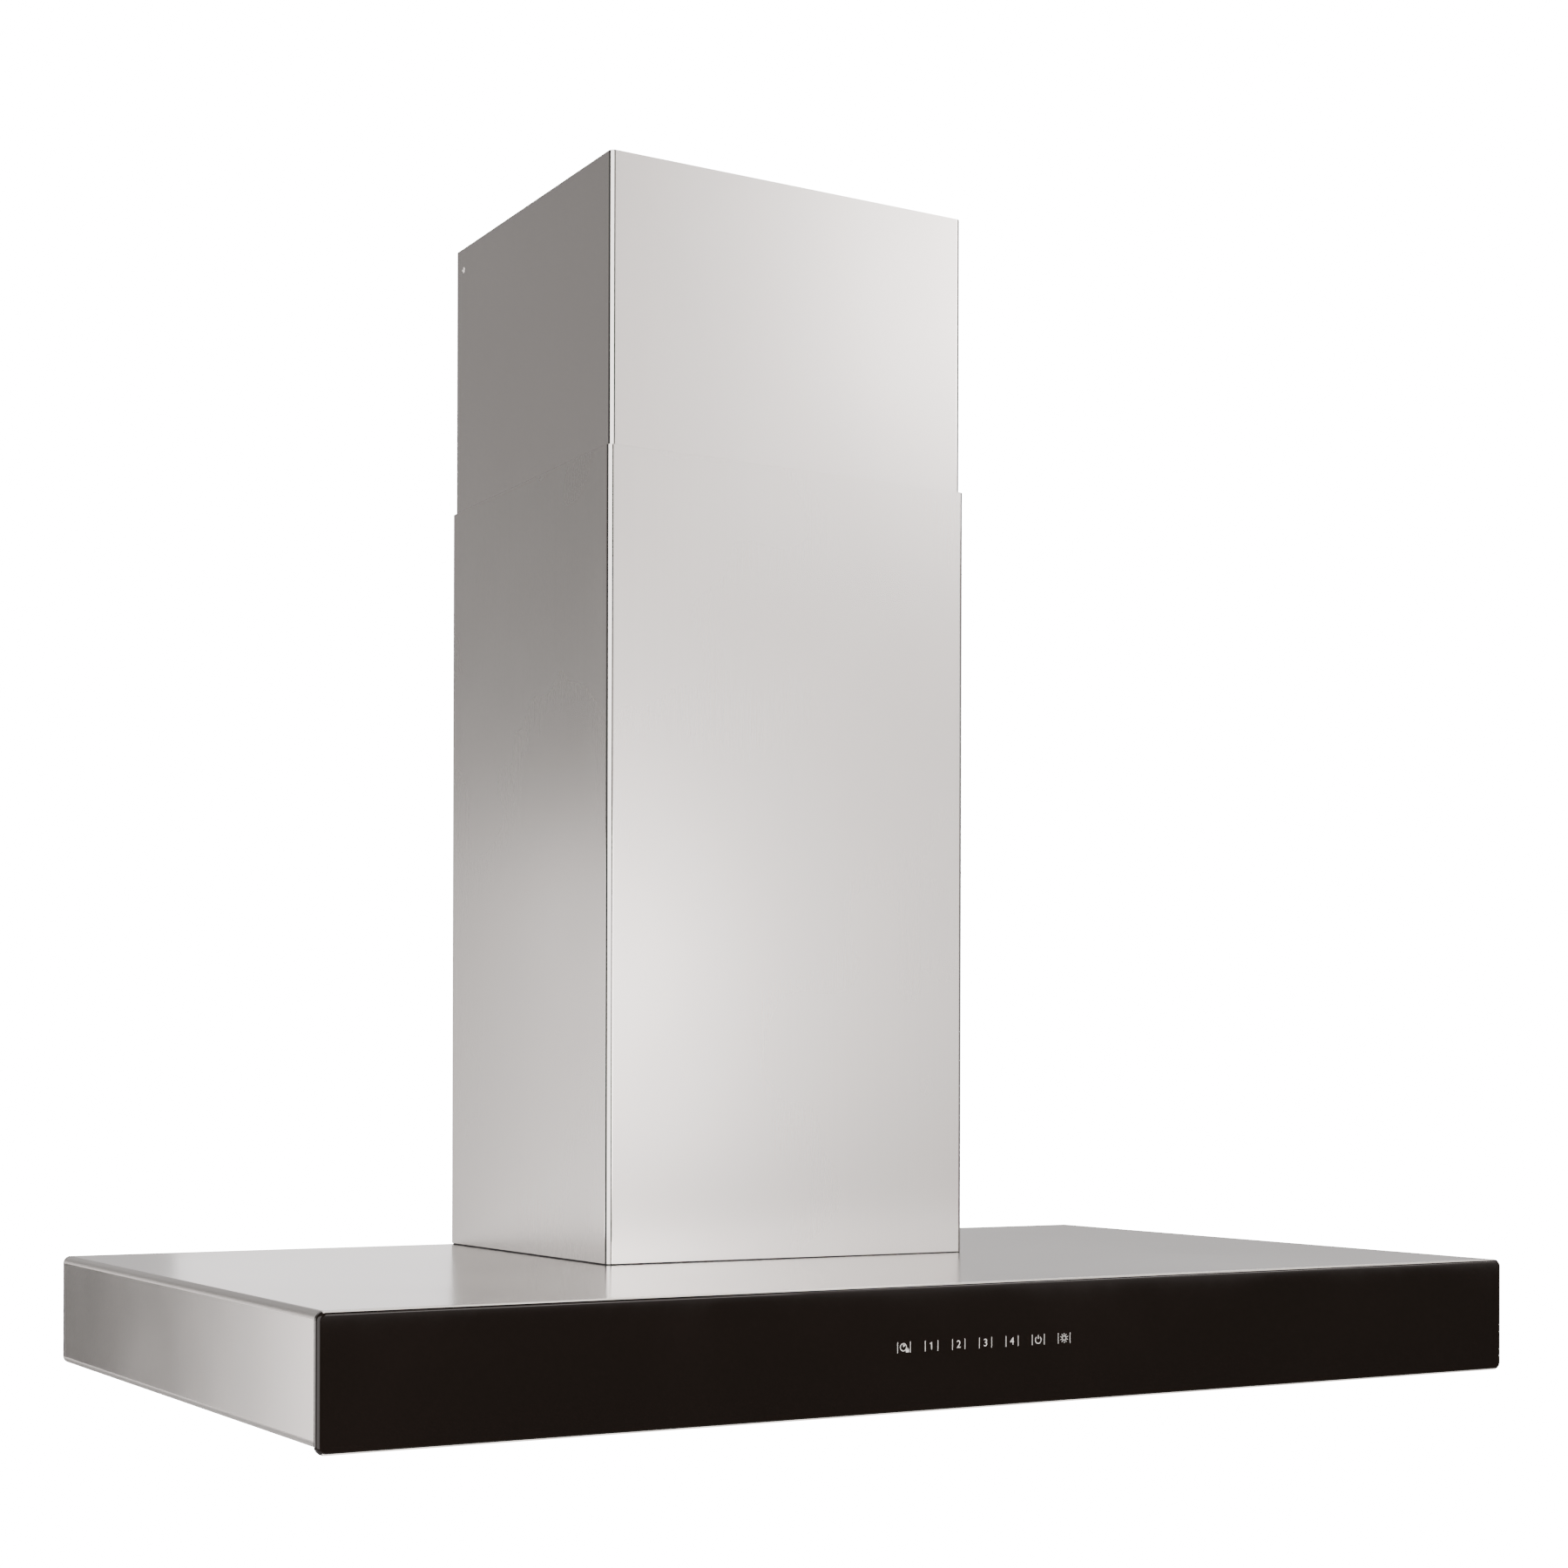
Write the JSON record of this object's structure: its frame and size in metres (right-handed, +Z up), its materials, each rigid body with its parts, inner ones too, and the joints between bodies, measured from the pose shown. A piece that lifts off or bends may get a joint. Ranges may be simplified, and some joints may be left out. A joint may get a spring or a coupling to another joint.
{
  "type": "wall chimney range hood",
  "caption": "Slim wall range hood: box canopy with a black glass touch front, baffle filters, and a square two-piece sliding chimney over a ducted blower.",
  "frame": {"origin": "on the wall plane at the hood's rear, at mid width, level with the underside of the canopy's body", "axes": "+X to the right seen from the front, +Y into the wall, +Z up; the glass front faces -Y"},
  "size_m": [0.9, 0.52, 0.851],
  "materials": {
    "brushed_stainless": "fine horizontal brushing on the canopy, vertical on the covers",
    "inner_stainless": "plain mill-finish stainless sheet",
    "black_glass": "back-painted tempered glass with polished edges",
    "foam_tape": "closed-cell foam tape",
    "galvanised_steel": "zinc spangle",
    "zinc_screws": "zinc-plated",
    "filter_stainless": "pressed stainless sheet",
    "latch_plastic": "moulded black nylon",
    "lamp_trim": "satin chrome ring",
    "lamp_diffuser": "opal diffuser",
    "lamp_heat_sink": "die-cast aluminium",
    "white_nylon": "nylon",
    "black_plastic": "moulded black plastic",
    "grey_plastic": "moulded grey plastic",
    "circuit_board": "solder-masked board",
    "motor_enamel": "black enamelled motor can",
    "shaft_steel": "ground steel",
    "grommet_rubber": "black rubber",
    "capacitor_can": "drawn aluminium can"
  },
  "bodies": {
    "hood": {"canopy_shell": "brushed_stainless", "front_rail": "inner_stainless", "back_panel": "inner_stainless", "underside_panel": "brushed_stainless", "canopy_screws": "zinc_screws", "front_glass": "black_glass", "glass_tape": "foam_tape", "touch_housing": "black_plastic", "touch_board": "circuit_board", "touch_sensors": "shaft_steel", "led_driver": "grey_plastic", "lower_cover": "brushed_stainless", "glide_strips": "white_nylon", "cover_feet": "galvanised_steel", "cover_screws": "zinc_screws", "blower_base": "galvanised_steel", "blower_box": "galvanised_steel", "blower_rear_cover": "galvanised_steel", "blower_lid": "galvanised_steel", "blower_screws": "zinc_screws", "guard_frame": "inner_stainless", "guard_wires": "inner_stainless", "scroll_wrap": "galvanised_steel", "scroll_side_left": "galvanised_steel", "scroll_side_right": "galvanised_steel", "motor_body": "motor_enamel", "motor_bracket": "galvanised_steel", "motor_grommets": "grommet_rubber", "outlet_collar": "galvanised_steel", "damper_rod": "shaft_steel", "control_box": "black_plastic", "control_lid": "black_plastic", "terminal_block": "grey_plastic", "cable_gland": "grey_plastic", "capacitor": "capacitor_can", "lamp_bezel_left": "lamp_trim", "lamp_lens_left": "lamp_diffuser", "lamp_body_left": "lamp_heat_sink", "lamp_bezel_right": "lamp_trim", "lamp_lens_right": "lamp_diffuser", "lamp_body_right": "lamp_heat_sink"},
    "upper_cover": {"upper_cover": "brushed_stainless"},
    "fan": {"fan_wheel": "galvanised_steel", "motor_shaft": "shaft_steel"},
    "flap_front": {"damper_flap_front": "galvanised_steel"},
    "flap_rear": {"damper_flap_rear": "galvanised_steel"},
    "filter_left": {"filter_frame_left": "filter_stainless", "filter_baffles_left": "filter_stainless", "filter_handle_left": "filter_stainless"},
    "latch_left": {"filter_latch_left": "latch_plastic"},
    "filter_middle": {"filter_frame_middle": "filter_stainless", "filter_baffles_middle": "filter_stainless", "filter_handle_middle": "filter_stainless"},
    "latch_middle": {"filter_latch_middle": "latch_plastic"},
    "filter_right": {"filter_frame_right": "filter_stainless", "filter_baffles_right": "filter_stainless", "filter_handle_right": "filter_stainless"},
    "latch_right": {"filter_latch_right": "latch_plastic"}
  },
  "joints": [
    {"name": "upper_cover_slide", "type": "slide", "parent": "hood", "child": "upper_cover", "axis": [0, 0, 1], "range_m": [-0.19, 0.24]},
    {"name": "fan_spin", "type": "hinge", "parent": "hood", "child": "fan", "pos_m": [0, -0.125, 0.2], "axis": [1, 0, 0], "continuous": true},
    {"name": "flap_front_swing", "type": "hinge", "parent": "hood", "child": "flap_front", "pos_m": [0, -0.1535, 0.362], "axis": [-1, 0, 0], "range_deg": [0, 75]},
    {"name": "flap_rear_swing", "type": "hinge", "parent": "hood", "child": "flap_rear", "pos_m": [0, -0.1535, 0.362], "axis": [1, 0, 0], "range_deg": [0, 75]},
    {"name": "filter_left_tilt", "type": "hinge", "parent": "hood", "child": "filter_left", "pos_m": [-0.27, -0.046, 0.0002], "axis": [1, 0, 0], "range_deg": [0, 70]},
    {"name": "latch_left_press", "type": "slide", "parent": "filter_left", "child": "latch_left", "axis": [0, 1, 0], "range_m": [0, 0.007], "stiffness_N_per_m": 250, "springref_m": -0.002},
    {"name": "filter_middle_tilt", "type": "hinge", "parent": "hood", "child": "filter_middle", "pos_m": [0, -0.046, 0.0002], "axis": [1, 0, 0], "range_deg": [0, 70]},
    {"name": "latch_middle_press", "type": "slide", "parent": "filter_middle", "child": "latch_middle", "axis": [0, 1, 0], "range_m": [0, 0.007], "stiffness_N_per_m": 250, "springref_m": -0.002},
    {"name": "filter_right_tilt", "type": "hinge", "parent": "hood", "child": "filter_right", "pos_m": [0.27, -0.046, 0.0002], "axis": [1, 0, 0], "range_deg": [0, 70]},
    {"name": "latch_right_press", "type": "slide", "parent": "filter_right", "child": "latch_right", "axis": [0, 1, 0], "range_m": [0, 0.007], "stiffness_N_per_m": 250, "springref_m": -0.002}
  ]
}
